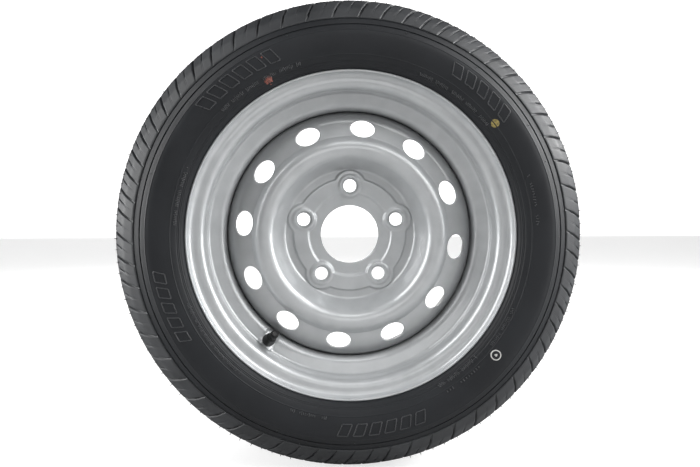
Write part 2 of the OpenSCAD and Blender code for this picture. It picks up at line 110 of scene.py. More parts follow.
# %% Camera
PICTURE_W, PICTURE_H, FOCAL_PX, SENSOR_MM = 700, 467, 823.6, 36.0
AZIMUTH, ELEVATION = np.radians(-3.44), np.radians(3.44)
FLANGE_DEPTH = 900.0
AXIS_RIGHT, AXIS_DOWN = 2.95, 3.99
ahead = np.array([
    -np.sin(AZIMUTH) * np.cos(ELEVATION), np.cos(AZIMUTH) * np.cos(ELEVATION), -np.sin(ELEVATION)])
rightward = np.array([np.cos(AZIMUTH), np.sin(AZIMUTH), 0.0])
upward = np.cross(rightward, ahead)
flange_centre = np.array([0.0, -LIP_OUT, 0.0])
eye = flange_centre - AXIS_RIGHT * rightward + AXIS_DOWN * upward - FLANGE_DEPTH * ahead


def placed(name, data):
    """An object of the scene for a mesh, a light or a camera."""
    made = bpy.data.objects.new(name, data)
    bpy.context.scene.collection.objects.link(made)
    return made


camera = placed("camera", bpy.data.cameras.new("camera"))
camera.data.sensor_width = SENSOR_MM
camera.data.lens = FOCAL_PX / PICTURE_W * SENSOR_MM
camera.data.clip_start = 0.02
turn = Matrix([list(v) for v in np.column_stack([rightward, upward, -ahead])]).to_4x4()
camera.matrix_world = Matrix.Translation(Vector(eye * MM)) @ turn
bpy.context.scene.camera = camera


def seen_at(px, py, out):
    """Radius and turn of the picture's point (px, py), if it lies `out` mm from the middle plane:
    the sight line is followed until its distance along -Y is `out`."""
    ray = (px - PICTURE_W / 2) * rightward - (py - PICTURE_H / 2) * upward + FOCAL_PX * ahead
    point = eye + ray * (-out - eye[1]) / ray[1]
    return np.hypot(point[0], point[2]), np.degrees(np.arctan2(point[2], point[0]))


# %% [markdown]
# Sheet metal is a middle line with a radius at each corner, and two faces parallel to it.

# %% Lines with bends
def bent(corners, step=8.0):
    """A line through corners (radius, out, bend). Each corner becomes an arc that touches both
    straights: it starts bend / tan(half the corner's angle) before the corner."""
    corners = np.asarray(corners, float)
    line = [corners[:1, :2]]
    for before, here, after in zip(corners[:-2], corners[1:-1], corners[2:]):
        a, b, c, bend = before[:2], here[:2], after[:2], here[2]
        if bend == 0:
            line.append(b[None])
            continue
        u, v = (a - b) / np.linalg.norm(a - b), (c - b) / np.linalg.norm(c - b)
        half = np.arccos(np.clip(u @ v, -1, 1)) / 2
        first = b + u * bend / np.tan(half)
        centre = b + (u + v) / np.linalg.norm(u + v) * bend / np.sin(half)
        sweep = (np.pi - 2 * half) * np.sign(np.cross(b - a, c - b))
        angle = np.linspace(0, sweep, max(2, int(np.ceil(abs(np.degrees(sweep)) / step)) + 1))
        arm = first - centre
        cos, sin = np.cos(angle), np.sin(angle)
        line.append(centre + np.stack([arm[0] * cos - arm[1] * sin, arm[0] * sin + arm[1] * cos], 1))
    line.append(corners[-1:, :2])
    return np.concatenate(line)


def refined(line, spacing):
    """The same line with its straights divided, so that no piece is longer than spacing(radius)."""
    made = [line[:1]]
    for a, b in zip(line[:-1], line[1:]):
        n = max(1, int(np.ceil(np.linalg.norm(b - a) / spacing((a[0] + b[0]) / 2))))
        made.append(a + (b - a) * np.arange(1, n + 1)[:, None] / n)
    return np.concatenate(made)


def across(line):
    """At each point the direction square to the line, lengthened so that a parallel line stays parallel."""
    d = np.diff(line, axis=0)
    d /= np.linalg.norm(d, axis=1)[:, None]
    before, after = np.vstack([d[:1], d]), np.vstack([d, d[-1:]])
    middle = before + after
    middle /= np.linalg.norm(middle, axis=1)[:, None]
    scale = 1 / (middle * before).sum(1)
    return np.stack([-middle[:, 1], middle[:, 0]], 1) * scale[:, None]


def sheet_outline(line, thickness, soft, power, fine=lambda r: 4.0, coarse=lambda r: 4.0):
    """The closed outline of a bent sheet. Each cut end is half a superellipse: `soft` mm long,
    round where power is 1 and square with soft corners where it is small. The straights are
    divided finely on the front and coarsely on the back."""
    side = across(line) * thickness / 2
    psi = np.radians(np.linspace(0, 180, 11))[1:-1]
    c, s = np.sign(np.cos(psi)) * np.abs(np.cos(psi)) ** power, np.sin(psi) ** power

    def end(point, sideways, outward):
        return point + c[:, None] * sideways + s[:, None] * outward * soft

    last = (line[-1] - line[-2]) / np.linalg.norm(line[-1] - line[-2])
    first = (line[0] - line[1]) / np.linalg.norm(line[0] - line[1])
    body = line.copy()
    body[0] -= first * soft
    body[-1] -= last * soft
    return np.concatenate([
        refined(body + side, fine), end(body[-1], side[-1], last),
        refined((body - side)[::-1], coarse), end(body[0], -side[0], first)])


def smooth_step(x, low, high):
    """0 below low, 1 above high, and the S curve 3t^2 - 2t^3 between them."""
    t = np.clip((x - low) / (high - low), 0, 1)
    return t * t * (3 - 2 * t)


# %% [markdown]
# Every surface is a grid of points, so one function makes all the meshes. The sign of the volume
# that they enclose says which way the faces point.

# %% Meshes from grids
CRISP = 38.0


def wheel_points(radius, turn_deg, out):
    """Points in metres in the wheel's frame: X = r cos t, Y = -out, Z = r sin t."""
    t = np.radians(turn_deg)
    radius, t, out = np.broadcast_arrays(radius, t, out)
    return np.stack([radius * np.cos(t), -out, radius * np.sin(t)], -1) * MM


def grid_faces(rows, columns, wrap_rows, wrap_columns):
    """Quads of a grid of rows x columns points, joined end to end where a direction wraps."""
    i = np.arange(rows if wrap_rows else rows - 1)[:, None]
    j = np.arange(columns if wrap_columns else columns - 1)[None, :]
    i2, j2 = (i + 1) % rows, (j + 1) % columns
    corners = [i * columns + j, i2 * columns + j, i2 * columns + j2, i * columns + j2]
    return np.stack(corners, -1).reshape(-1, 4)


def enclosed(points, faces):
    """Volume inside the faces: the sum of the signed pyramids from the origin."""
    a, b, c, d = (points[faces[:, k]] for k in range(4))
    return (np.einsum("ij,ij->i", a, np.cross(b, c)) + np.einsum("ij,ij->i", a, np.cross(c, d))).sum() / 6


def new_mesh(name, points, quads, caps=()):
    """A smooth-shaded mesh of quads, and of caps, which are rings of point numbers."""
    mesh = bpy.data.meshes.new(name)
    mesh.from_pydata(points.reshape(-1, 3).tolist(), [], quads.tolist() + [list(map(int, c)) for c in caps])
    mesh.validate()
    mesh.shade_smooth()
    return placed(name, mesh)


def closed_grid(name, points):
    """A closed surface from a grid that wraps in both directions, its faces pointing outwards."""
    quads = grid_faces(*points.shape[:2], True, True)
    flat = points.reshape(-1, 3)
    if enclosed(flat, quads) < 0:
        quads = quads[:, ::-1]
    return new_mesh(name, points, quads)


def capped_grids(name, grids):
    """Many closed tubes in one mesh. Each grid's rows are rings, and its first and last ring are
    closed with a cap. grids has the shape (tubes, rings, points of a ring, 3)."""
    tubes, rings, around, _ = grids.shape
    quads = grid_faces(rings, around, False, True)
    ring = np.arange(around)
    caps = [ring, ring[::-1] + (rings - 1) * around]
    flat = grids.reshape(tubes, -1, 3)
    middle = flat[0] - flat[0].mean(0)
    if enclosed(middle, quads) < 0:
        quads, caps = quads[:, ::-1], [c[::-1] for c in caps]
    shift = (np.arange(tubes) * rings * around)[:, None, None]
    every = (quads[None] + shift).reshape(-1, 4)
    ends = [c + s for s in shift[:, 0, 0] for c in caps]
    return new_mesh(name, grids, every, ends)


def turned_outline(name, outline, turns, lift=0.0):
    """A closed outline (radius, out) turned round the axis at the given angles in degrees. `lift`
    moves its points out, and may differ from turn to turn."""
    return closed_grid(name, wheel_points(outline[None, :, 0], turns[:, None], outline[None, :, 1] + lift))


def even_turns(n):
    """The angles in degrees of n equal steps round the wheel."""
    return np.arange(n) * 360.0 / n


def cut_out(piece, cutter):
    """Takes the cutter out of the piece with an exact boolean. Edges sharper than CRISP stay crisp."""
    work = piece.modifiers.new("cut", "BOOLEAN")
    work.operation, work.solver, work.object = "DIFFERENCE", "EXACT", cutter
    graph = bpy.context.evaluated_depsgraph_get()
    mesh = bpy.data.meshes.new_from_object(piece.evaluated_get(graph))
    piece.modifiers.clear()
    piece.data = mesh
    bpy.data.objects.remove(cutter)
    mesh.shade_smooth()
    mesh.set_sharp_from_angle(angle=np.radians(CRISP))
    return piece


def finished(piece, material, body, slot, *nodes):
    """Gives a piece its finish, the body it rides on and the solids it stands for. The slot is not used."""
    piece.data.materials.clear()
    piece.data.materials.append(material)
    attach(piece, body)
    if nodes:
        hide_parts(*nodes)
    return piece


# %% [markdown]
# The finishes. Baked silver paint is a metallic paint with a clear gloss over it: small flakes
# change its colour a little, and the clear coat has the faint waves that painters call orange peel.
# Moulded rubber is nearly black, with a fine matt grain and a paler bloom in patches.

# %% Shared effects
def new_group(name, numbers, outputs):
    """A node group with float inputs and named outputs, and its two ends."""
    group = bpy.data.node_groups.new(name, "ShaderNodeTree")
    for label, value in numbers.items():
        group.interface.new_socket(label, in_out="INPUT", socket_type="NodeSocketFloat").default_value = value
    for label, kind in outputs.items():
        group.interface.new_socket(label, in_out="OUTPUT", socket_type=kind)
    return group, group.nodes.new("NodeGroupInput"), group.nodes.new("NodeGroupOutput")


def fill(tree, node, inputs):
    """Sets a node's inputs, each to a value or to the output that is linked to it."""
    for label, value in inputs.items():
        if isinstance(value, bpy.types.NodeSocket):
            tree.links.new(value, node.inputs[label])
        else:
            node.inputs[label].default_value = value


def add_node(tree, kind, inputs=None, **settings):
    """A new node of a tree with its settings and its inputs."""
    node = tree.nodes.new("ShaderNode" + kind)
    for label, value in settings.items():
        setattr(node, label, value)
    fill(tree, node, inputs or {})
    return node


def new_material(name):
    """A material, its node tree and its shader."""
    material = bpy.data.materials.new(name)
    material.use_nodes = True
    return material, material.node_tree, material.node_tree.nodes["Principled BSDF"]


def grain_group():
    """Two sizes of noise on Object coordinates: Fine is the surface's grain, Patch its slow change."""
    group, ins, outs = new_group(
        "surface_grain", {"Grain Scale": 900.0, "Patch Scale": 14.0},
        {"Fine": "NodeSocketFloat", "Patch": "NodeSocketFloat"})
    place = add_node(group, "TexCoord").outputs["Object"]
    for label, scale, detail in (("Fine", "Grain Scale", 3.0), ("Patch", "Patch Scale", 5.0)):
        noise = add_node(group, "TexNoise", {"Vector": place, "Scale": ins.outputs[scale], "Detail": detail})
        fill(group, outs, {label: noise.outputs["Fac"]})
    return group


def painted_shade_group():
    """A painted shade: Kept is 1 up to the clear radius and falls to Left at the dark radius, both from the
    axle (Y).
    """
    group, ins, outs = new_group("painted_shade_ring", {"Clear Radius": 0.1, "Dark Radius": 0.2, "Left": 1.0},
                                 {"Kept": "NodeSocketFloat"})
    place = add_node(group, "TexCoord").outputs["Object"]
    flat = add_node(group, "VectorMath", {0: place, 1: (1, 0, 1)}, operation="MULTIPLY")
    radius = add_node(group, "VectorMath", {0: flat.outputs["Vector"]}, operation="LENGTH")
    painted_shade = add_node(group, "MapRange", {
        "Value": radius.outputs["Value"], "From Min": ins.outputs["Clear Radius"],
        "From Max": ins.outputs["Dark Radius"], "To Min": 1.0, "To Max": ins.outputs["Left"],
    }, interpolation_type="SMOOTHSTEP")
    fill(group, outs, {"Kept": painted_shade.outputs["Result"]})
    return group


GRAIN, PAINTED_SHADE_RING = grain_group(), painted_shade_group()


def finish_of(name, dark, light, rough, metallic=0.0, grain=900.0, patch=14.0, bump=0.0, wave=0.0,
              coat=0.0, coat_rough=0.1, specular=0.5, painted_shade=None):
    """A Principled finish: colour runs from dark to light with the patches, roughness spans `rough`,
    and the grain and the slow waves each raise a little height. The last argument paints shade
    into the colour round the axle: the radius where the colour starts to sink, the radius where it
    is darkest, and the share of it that is left there."""
    material, tree, shader = new_material(name)
    grains = add_node(tree, "Group", node_tree=GRAIN)
    fill(tree, grains, {"Grain Scale": grain, "Patch Scale": patch})
    fine, slow = grains.outputs["Fine"], grains.outputs["Patch"]
    blend = add_node(tree, "Math", {0: fine, 1: 0.35, 2: slow}, operation="MULTIPLY_ADD")
    reach = add_node(tree, "MapRange", {"Value": blend.outputs["Value"], "From Min": 0.45, "From Max": 0.9})
    colour = add_node(tree, "Mix", {
        "Factor": reach.outputs["Result"], "A": (*dark, 1), "B": (*light, 1)}, data_type="RGBA")
    # Painted shade: the colour is multiplied by a factor that sinks with the radius from the axle.
    if painted_shade:
        ring = add_node(tree, "Group", node_tree=PAINTED_SHADE_RING)
        fill(tree, ring, dict(zip(("Clear Radius", "Dark Radius", "Left"), painted_shade)))
        colour = add_node(tree, "Mix", {
            "Factor": 1.0, "A": colour.outputs["Result"], "B": ring.outputs["Kept"],
        }, data_type="RGBA", blend_type="MULTIPLY")
    shine = add_node(tree, "MapRange", {
        "Value": slow, "From Min": 0.3, "From Max": 0.7, "To Min": rough[0], "To Max": rough[1]})
    fill(tree, shader, {
        "Metallic": metallic, "Coat Weight": coat, "Coat Roughness": coat_rough,
        "Specular IOR Level": specular, "Base Color": colour.outputs["Result"],
        "Roughness": shine.outputs["Result"]})
    if bump or wave:
        height = add_node(
            tree, "Math", {0: slow, 1: wave / max(bump, 1e-6), 2: fine}, operation="MULTIPLY_ADD")
        relief = add_node(tree, "Bump", {
            "Strength": 1.0, "Distance": bump * MM, "Height": height.outputs["Value"]})
        fill(tree, shader, {"Normal": relief.outputs["Normal"]})
    return material


# %% The finishes of this wheel
def silver(name, painted_shade=None):
    """The wheel's silver paint, a little metallic, under a clear coat, with painted shade if a ring is given.
    """
    return finish_of(name, (0.45, 0.465, 0.475), (0.51, 0.525, 0.535), (0.38, 0.44), 0.4, grain=2600,
                     patch=60, bump=0.001, wave=0.006, coat=1.0, coat_rough=0.06, painted_shade=painted_shade)


# The disc's paint has a painted shade: from 114 mm out to its edge at 140 mm its colour sinks to half, where
# the rim's crevice shades the vent band.
silver_paint, disc_paint_with_painted_shade = silver("silver_paint"), silver("disc_paint_with_painted_shade", (0.114, 0.140, 0.5))
# The raised lines' finish is glossier than the casing rubber, which is real, and much lighter, which is a
# painted highlight along the thin ridges.
moulded = finish_of("moulded_edge_painted_highlight", (0.028, 0.0295, 0.032), (0.052, 0.054, 0.058), (0.26, 0.36),
                    grain=1500, patch=90)
rubber = finish_of("tyre_rubber", (0.0075, 0.0085, 0.0105), (0.013, 0.0145, 0.0172), (0.46, 0.58),
                   grain=1500, patch=18, bump=0.05, specular=0.33)
tread_rubber = finish_of("tread_rubber", (0.018, 0.0195, 0.0215), (0.036, 0.038, 0.0415), (0.48, 0.6),
                         grain=1200, patch=25, bump=0.06, specular=0.45)
# The stubs' rubber is glossier than the casing's, which is real, and lighter grey, which is a painted
# highlight for the bright specks on the stubs.
stub_rubber_painted_highlight = finish_of("stub_rubber_painted_highlight", (0.020, 0.020, 0.021), (0.045, 0.046, 0.047), (0.3, 0.42),
                        grain=1500, patch=400)
valve_rubber = finish_of("valve_rubber", (0.005, 0.005, 0.0055), (0.010, 0.010, 0.011), (0.35, 0.45),
                         grain=2500, patch=120, bump=0.02, specular=0.4)
cap_plastic = finish_of("cap_plastic", (0.004, 0.004, 0.0045), (0.008, 0.008, 0.0085), (0.24, 0.32),
                        grain=3000, patch=200, bump=0.008, specular=0.18)
bare = dict(metallic=1.0, grain=4000, patch=300, bump=0.004)
brass = finish_of("brass", (0.60, 0.44, 0.20), (0.74, 0.57, 0.30), (0.22, 0.32), **bare)
steel = finish_of("spring_steel", (0.42, 0.42, 0.43), (0.55, 0.55, 0.56), (0.28, 0.38), **bare)
white_seal = finish_of("white_seal", (0.70, 0.69, 0.66), (0.80, 0.79, 0.76), (0.4, 0.5),
                       grain=3000, patch=200, bump=0.01)

# %% [markdown]
# The rim is one ring of rolled sheet. Its section runs from the curled outer lip over the bead
# seat and its small safety hump, down the slope that carries the valve, along the drop well and
# out again to the inner lip. Turning that outline round the axis makes the whole ring. The slope
# leans SLOPE_TILT degrees, and round the valve hole the press tool leaves a small flat that leans
# SLOPE_LEAN degrees, square to the valve. The flat is whole up to FLAT_WHOLE mm of arc from the
# valve and gone at FLAT_GONE.

# %% Rim
seat_mid = SEAT_R - RIM_T / 2
toe_mid = seat_mid - SEAT_DROP
hump_out = HALF_RIM - SEAT_L
slope_top = np.array([WELL_MID_R + SLOPE_RISE, WELL_TOP + SLOPE_RUN])
slope_foot = np.array([WELL_MID_R, WELL_TOP])
VALVE_TURN, VALVE_PLACE, VALVE_HOLE_R = -128.0, 0.3793, 5.75
FLAT_WHOLE, FLAT_GONE, FINE_TURN, FINE_STEPS, RIM_STEPS = 5.8, 10.6, 5.0, 43, 320
FOOT_CLEAR, TOP_CLEAR, SLOPE_REACH = 1.2, 1.8, 12.0
valve_spot = slope_top * (1 - VALVE_PLACE) + slope_foot * VALVE_PLACE


def rim_outline(lean_deg, top_bend, foot_bend):
    """The rim's section. The slope of the well passes through the valve's place with the given lean."""
    run = np.tan(np.radians(lean_deg))
    top = valve_spot + (slope_top[0] - valve_spot[0]) * np.array([1, run])
    foot = valve_spot + (slope_foot[0] - valve_spot[0]) * np.array([1, run])
    line = bent([
        (CURL_R, LIP_OUT, 0), (CURL_R, WALL_OUT, CURL_BEND), (seat_mid, WALL_OUT, HEEL_BEND),
        (toe_mid, hump_out + HUMP_W, 3), (toe_mid + HUMP_H, hump_out, 1.8), (*top, top_bend),
        (*foot, foot_bend), (WELL_MID_R, WELL_TOP - WELL_W, 9), (toe_mid - 4, 10 - hump_out, 12),
        (toe_mid + HUMP_H, -hump_out, 2),
        (toe_mid, -hump_out - HUMP_W, 5), (seat_mid, -WALL_OUT, HEEL_BEND),
        (CURL_R, -WALL_OUT, CURL_BEND), (CURL_R, -LIP_OUT, 0)])
    return sheet_outline(line, RIM_T, RIM_T / 2, 1.0)


def slope_height(outline, face, r):
    """Distance out of the slope's front (face 1) or back (face -1) at a radius."""
    side = outline[:len(outline) // 2] if face > 0 else outline[len(outline) // 2:]
    side = side[(side[:, 1] > WELL_TOP - 20) & (side[:, 1] < hump_out) & (side[:, 0] < toe_mid)]
    side = side[np.argsort(side[:, 0])]
    return np.interp(r, side[:, 0], side[:, 1])


plain, square = rim_outline(SLOPE_TILT, 4.9, 9.8), rim_outline(SLOPE_LEAN, 3.0, 7.0)
rim_turns = np.unique(np.round(np.concatenate([
    even_turns(RIM_STEPS), VALVE_TURN % 360 + np.linspace(-FINE_TURN, FINE_TURN, FINE_STEPS)]), 3))
away = np.radians(np.abs(rim_turns - VALVE_TURN % 360)) * valve_spot[0]
flat = 1 - smooth_step(away, FLAT_WHOLE, FLAT_GONE)[:, None]
shift = np.zeros(len(plain))
for face, part in ((1, slice(0, len(plain) // 2)), (-1, slice(len(plain) // 2, None))):
    r, z = plain[part, 0], plain[part, 1]
    on_slope = (r > WELL_BORE_R + FOOT_CLEAR) & (r < toe_mid - TOP_CLEAR)
    on_slope &= (z > WELL_TOP - SLOPE_REACH) & (z < hump_out)
    shift[part] = np.where(on_slope, slope_height(square, face, r) - slope_height(plain, face, r), 0)
rim = turned_outline("rim_ring", plain, rim_turns, shift * flat)

# %% [markdown]
# The disc is pressed from one plate: a flat pad round the bore, a raised ring that joins the
# five bolt bosses, a bowl, a crown, and the band of vents. The bosses are a height added to the
# turned surface.

# %% Disc
LAND_IN, LAND_OUT = BOLT_R - 8.6, BOLT_R + 7.3
VALLEY_R = LAND_OUT + 3
BAND_R = CROWN_R + 13.7
DISC_STEPS, PRESSED_R = 380, 80.0
disc_mid_r = DISC_R - DISC_T / 2
disc_line = bent([
    (BORE_R, DISC_MID, 0), (VALLEY_R, DISC_MID - 0.8, 20), (VALLEY_R + 9.8, DISC_MID - 0.4, 8.8),
    (CROWN_R - 5.2, DISC_MID + CROWN_H - 2.6, 11.8), (CROWN_R + 6.6, DISC_MID + CROWN_H - 1.7, 11.4),
    (BAND_R + 0.6, BAND_OUT + 3.1, 3.2), (disc_mid_r, BAND_OUT - 2.6, 16), (disc_mid_r, DISC_END, 0)], 5.0)
disc_outline = sheet_outline(disc_line, DISC_T, 0.7, 0.4, lambda r: 0.9 if r < PRESSED_R else 4.0,
                             lambda r: 3.0 if r < PRESSED_R else 5.0)
front_line = disc_line + across(disc_line) * DISC_T / 2


def front_height(r):
    """Distance out of the disc's front face, which has a single height from the pad to the band."""
    return np.interp(r, front_line[:, 0], front_line[:, 1])


def soft_max(a, b, soft):
    """The higher of two heights with a rounded meeting: (a + b + sqrt((a - b)^2 + soft^2) - soft) / 2."""
    return (a + b + np.sqrt((a - b) ** 2 + soft ** 2) - soft) / 2


def pad_lift(radius, turn_deg):
    """How far the pressing stands above the turned line: a land that widens round each boss, and
    the boss on it. Both meet the bowl in a soft maximum."""
    step = 360.0 / BOLTS
    off = (turn_deg - 90 + step / 2) % step - step / 2
    away = np.sqrt(radius ** 2 + BOLT_R ** 2 - 2 * radius * BOLT_R * np.cos(np.radians(off)))
    outer_edge = 1 - smooth_step(radius, LAND_OUT + 0.3, VALLEY_R + 0.1)
    ring = smooth_step(radius, LAND_IN - 1.6, LAND_IN + 1.6) * outer_edge
    skirt = 1 - smooth_step(away, SKIRT_R - 1.3, SKIRT_R + 1.2)
    skirt *= smooth_step(radius, BOLT_R - 2, BOLT_R + 6)
    boss = BOSS_H * (1 - smooth_step(away, BOSS_TOP_R, BOSS_FOOT_R))
    raised = soft_max(LAND_H * (1 - (1 - ring) * (1 - skirt)), boss, 0.5)
    bowl = front_height(radius) - PAD_OUT
    lift = soft_max(raised, bowl, 0.3) - bowl
    return np.where(radius < CROWN_R - 7, np.maximum(lift, 0), 0)


disc_turns = even_turns(DISC_STEPS)
lift = pad_lift(disc_outline[None, :, 0], disc_turns[:, None])
disc = turned_outline("disc_pressing", disc_outline, disc_turns, lift)

# %% [markdown]
# The holes are punched after the pressing. Each cutter is shaped like a trumpet at both ends, so
# that the punched edge comes out slightly rounded, as paint and the press tool leave it.

# %% Vents
def trumpet(depth, front_round, back_round):
    """How far a cutter's wall stands out (first value) at each height (second), from above the
    front face to below the back: a quarter circle at each face joined by a straight wall."""
    a = np.radians(np.linspace(78, 0, 6))
    lip = np.stack([1 - np.cos(a), np.sin(a) - 1], 1)
    front, back = front_round * lip, back_round * lip[::-1] * (1, -1) - (0, depth)
    above = front[:1] + [[front_round, 0.45 * front_round]]
    below = back[-1:] + [[back_round, -0.45 * back_round]]
    return np.concatenate([above, front, back, below])


wall = trumpet(DISC_T + 0.4, 1.5, 0.7)
phi = np.radians(np.arange(72) * 5.0)
tangential = (VENT_L / 2 + wall[:, :1]) * np.cos(phi)
radial = VENT_R + (VENT_H / 2 + wall[:, :1]) * np.sin(phi)
vent_turns = VENT_TURN + even_turns(VENTS)
vent_r = np.hypot(radial, tangential)
vent_t = vent_turns[:, None, None] + np.degrees(np.arctan2(tangential, radial))
vent_out = front_height(vent_r) + wall[:, 1:]
vent_out[0], vent_out[-1] = vent_out[1].max() + 1, vent_out[-2].min() - 1
vent_grids = wheel_points(vent_r[None], vent_t, vent_out[None])
cut_out(disc, capped_grids("vent_cutters", vent_grids))

# %% Bolt holes
boss_top = PAD_OUT + BOSS_H
seat_wall = np.array([
    (12.0, 1.2), (10.9, 0.35), (10.3, -0.06), (9.95, -0.3), (9.7, -0.66), (7.9, -3.7), (7.6, -4.1),
    (BOLT_HOLE_R, -4.5), (BOLT_HOLE_R, -7.4), (7.7, -7.8), (8.4, -8.4), (9.5, -9.4)])
bolt_x = BOLT_R + seat_wall[:, :1] * np.cos(phi)
bolt_y = seat_wall[:, :1] * np.sin(phi)
bolt_t = (90 + even_turns(BOLTS))[:, None, None] + np.degrees(np.arctan2(bolt_y, bolt_x))
bolt_out = np.broadcast_to(boss_top + seat_wall[:, 1:], bolt_x.shape)
bolt_grids = wheel_points(np.hypot(bolt_x, bolt_y)[None], bolt_t, bolt_out[None])
cut_out(disc, capped_grids("bolt_cutters", bolt_grids))

# %% [markdown]
# The valve hole is punched square to the slope of the rim. Its place and its direction are
# worked out from the slope's two corners, as a press tool would be set.

# %% Valve frame
valve_lean = np.radians(SLOPE_LEAN)
valve_cos, valve_sin = np.cos(np.radians(VALVE_TURN)), np.sin(np.radians(VALVE_TURN))
valve_origin = np.array([valve_spot[0] * valve_cos, -valve_spot[1], valve_spot[0] * valve_sin])
valve_axis = np.array([-np.sin(valve_lean) * valve_cos, -np.cos(valve_lean), -np.sin(valve_lean) * valve_sin])
valve_side = np.array([-valve_sin, 0, valve_cos])
valve_cross = np.cross(valve_axis, valve_side)


def round_valve(a):
    """Directions square to the valve's axis at the angles a in radians."""
    return np.cos(a)[:, None] * valve_side + np.sin(a)[:, None] * valve_cross


def valve_rings(radius, along, count=64):
    """Rings round the valve's axis: one ring of `count` points for each radius and distance along."""
    circle = round_valve(np.arange(count) * 2 * np.pi / count)
    radius = np.broadcast_to(np.asarray(radius, float).reshape(len(along), -1), (len(along), count))
    rings = valve_origin + np.asarray(along)[:, None, None] * valve_axis + radius[:, :, None] * circle
    return rings[None] * MM


cut_out(rim, capped_grids("valve_hole_cutter", valve_rings([VALVE_HOLE_R] * 2, [-6.0, 6.0])))
finished(rim, silver_paint, "wheel", "silver_paint", "rim")
# The disc wears the paint with the painted shade towards its edge.
finished(disc, disc_paint_with_painted_shade, "wheel", "silver_paint", "disc")

# %% [markdown]
# The tyre's casing is one turned outline too: bead, sidewall and the rubber under the tread.
# Between the bead and the tread blocks the moulder cuts fine ribs, and these are part of the outline.

# %% Casing
def smooth_curve(a, b, c, d, n):
    """A cubic curve from a to d that leaves towards b and arrives from c."""
    t = np.linspace(0, 1, n + 1)[:, None]
    a, b, c, d = map(np.asarray, (a, b, c, d))
    return (1 - t) ** 3 * a + 3 * (1 - t) ** 2 * t * b + 3 * (1 - t) * t ** 2 * c + t ** 3 * d


BEAD_GAP, BEAD_L, SIDEWALL_T, CASING_STEPS = 0.2, 14.0, 6.5, 300
nose_r = FLANGE_R + BEAD_GAP
bead = bent([
    (SEAT_R + BEAD_GAP - SEAT_DROP * BEAD_L / SEAT_L, HALF_RIM - BEAD_GAP - BEAD_L, 0),
    (SEAT_R + BEAD_GAP, HALF_RIM - BEAD_GAP, HEEL_BEND - RIM_T / 2),
    (nose_r, HALF_RIM - BEAD_GAP, CURL_BEND + RIM_T / 2 + BEAD_GAP), (nose_r, LIP_OUT - 0.4, 0)])
widest = np.array([WIDEST_R, HALF_SECTION])
lower_wall = smooth_curve((FLANGE_R + 4.4, LIP_OUT + 4.2), (FLANGE_R + 9.4, LIP_OUT + 9.6),
                          widest - (9, 0), widest, 40)
upper_wall = smooth_curve(widest, widest + (9, 0), BUTTRESS - (6, -3), BUTTRESS, 30)[1:]
wall_line = np.concatenate([lower_wall, upper_wall])
RIBS = [(187.0, 0.7, 0.6), (189.6, 0.5, -0.4), (196.6, 0.5, 0.35), (222.5, 0.6, 0.3), (228.6, 0.55, -1.1)]


def wall_out(r):
    """Distance out of the plain sidewall at a radius."""
    return np.interp(r, wall_line[:, 0], wall_line[:, 1])


fine_r = np.unique(np.concatenate([np.arange(FLANGE_R + 4.4, BUTTRESS[0], 1.6)]
                                  + [r + w * np.linspace(-1.8, 1.8, 9) for r, w, _ in RIBS]))
rib_height = sum(h * np.exp(-((fine_r - r) / w) ** 4) for r, w, h in RIBS)
ribbed = np.stack([fine_r, wall_out(fine_r) + rib_height], 1)
step_down = np.array([BUTTRESS + (1.2, -0.7), BUTTRESS + (3.2, -1.8), BLOCK_FOOT + (-0.9, 0.5),
                      BLOCK_FOOT + (-0.4, 0.1), BLOCK_FOOT + (0.2, -1.6)])
under = np.array([
    (SHOULDER_R - 16, HALF_TREAD + 4), (TYRE_R - 12, 52.0), (TYRE_R - 10.2, 25.0), (TYRE_R - 9.8, 0.0)])
skin = TREAD_DEPTH + 5.0
inner = np.concatenate([
    [(TYRE_R - skin, 0.0), (TYRE_R - skin - 1, HALF_TREAD * 0.4)],
    smooth_curve((TYRE_R - skin - 3.4, HALF_TREAD * 0.7), (TYRE_R - skin - 7.5, HALF_TREAD + 4),
                 (WIDEST_R + 18, HALF_SECTION - SIDEWALL_T), (WIDEST_R, HALF_SECTION - SIDEWALL_T), 10),
    smooth_curve(
        (WIDEST_R - 3, HALF_SECTION - SIDEWALL_T - 0.1), (WIDEST_R - 14, HALF_SECTION - SIDEWALL_T - 1),
        bead[0] + (21.4, 3.2), bead[0] + (1.4, -0.8), 9)])
outer = np.concatenate([bead, ribbed, step_down, under])
flip = np.array([1, -1])
casing_outline = np.concatenate([outer, outer[-2::-1] * flip, inner[::-1][:-1] * flip, inner])
casing = turned_outline("tyre_casing", casing_outline, even_turns(CASING_STEPS))
finished(casing, rubber, "wheel", "tyre_rubber", "tyre")

# %% [markdown]
# The mould leaves thin raised lines on the sidewall. Here they are plain ticks, hatching and the
# outlines of slanted bars, with nothing to read. All of them are ridges between two points of the
# sidewall, so one function raises hundreds of them at once.

# %% Raised lines
def as_floats(*values):
    """The values as float arrays of one shape."""
    return np.broadcast_arrays(*(np.asarray(v, float) for v in values))


